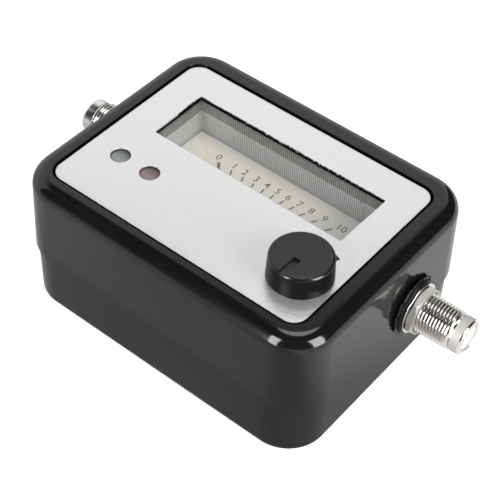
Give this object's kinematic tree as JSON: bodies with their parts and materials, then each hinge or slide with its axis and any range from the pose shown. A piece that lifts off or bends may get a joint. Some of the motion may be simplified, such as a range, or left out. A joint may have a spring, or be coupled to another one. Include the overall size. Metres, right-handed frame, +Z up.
{
  "type": "satellite signal meter",
  "caption": "Palm-sized in-line signal meter: black moulded case, silver face plate, moving-needle scale in a deep window, indicator lamps, a knob and threaded coaxial sockets in its ends.",
  "frame": {"origin": "middle of the flat underside of the case", "axes": "+X from the left socket to the right socket, +Y towards the window side of the face plate, +Z up"},
  "size_m": [0.111, 0.0634, 0.0417],
  "materials": {
    "case_plastic": "moulded, satin to gloss black",
    "face_silver": "fine-grained silver sheet",
    "clear_plastic": "clear moulded",
    "scale_cream": "matt cream paint with dark numbers",
    "tray_plastic": "pale grey moulded",
    "needle_paint": "dark painted",
    "copper_coil": "enamelled copper wire",
    "magnet_steel": "plain",
    "bright_steel": "plated",
    "brass_plain": "plain",
    "lamp_clear_green": "clear moulded",
    "lamp_clear_red": "clear moulded",
    "knob_plastic": "satin black",
    "board_green": "lacquered laminate",
    "socket_plate": "nickel plated",
    "insulator_white": "plain",
    "washer_black": "blackened"
  },
  "bodies": {
    "case": {"upper_shell": "case_plastic", "lower_shell": "case_plastic", "face_plate": "face_silver", "case_screw_1": "bright_steel", "case_screw_2": "bright_steel", "case_screw_3": "bright_steel", "case_screw_4": "bright_steel", "meter_lens": "clear_plastic", "scale_plate": "scale_cream", "meter_base": "tray_plastic", "magnet_core": "magnet_steel", "yoke_ring": "magnet_steel", "pivot_bridge": "bright_steel", "bearing_screw": "brass_plain", "meter_terminal_1": "brass_plain", "meter_terminal_2": "brass_plain", "led_left": "lamp_clear_green", "led_left_lead_1": "bright_steel", "led_left_lead_2": "bright_steel", "led_right": "lamp_clear_red", "led_right_lead_1": "bright_steel", "led_right_lead_2": "bright_steel", "pot_body": "bright_steel", "pot_washer": "bright_steel", "pot_nut": "bright_steel", "circuit_board": "board_green", "board_screw_1": "bright_steel", "board_screw_2": "bright_steel", "right_socket_barrel": "socket_plate", "right_insulator": "insulator_white", "right_centre_contact": "brass_plain", "right_toothed_washer": "washer_black", "right_flat_washer": "socket_plate", "right_hex_nut": "socket_plate", "left_socket_barrel": "socket_plate", "left_insulator": "insulator_white", "left_centre_contact": "brass_plain", "left_toothed_washer": "washer_black", "left_flat_washer": "socket_plate", "left_hex_nut": "socket_plate"},
    "knob": {"knob": "knob_plastic", "pot_shaft": "bright_steel"},
    "needle": {"needle": "needle_paint", "moving_coil": "copper_coil"}
  },
  "joints": [
    {"name": "knob_turn", "type": "hinge", "parent": "case", "child": "knob", "pos_m": [0.02548, -0.0133, 0.03594], "axis": [0, 0, -1], "range_deg": [0, 300]},
    {"name": "needle_swing", "type": "hinge", "parent": "case", "child": "needle", "pos_m": [0.0002, -0.012, 0.0268], "axis": [0, 0, -1], "range_deg": [0, 72.4], "stiffness_Nm_per_rad": 0.00005}
  ]
}
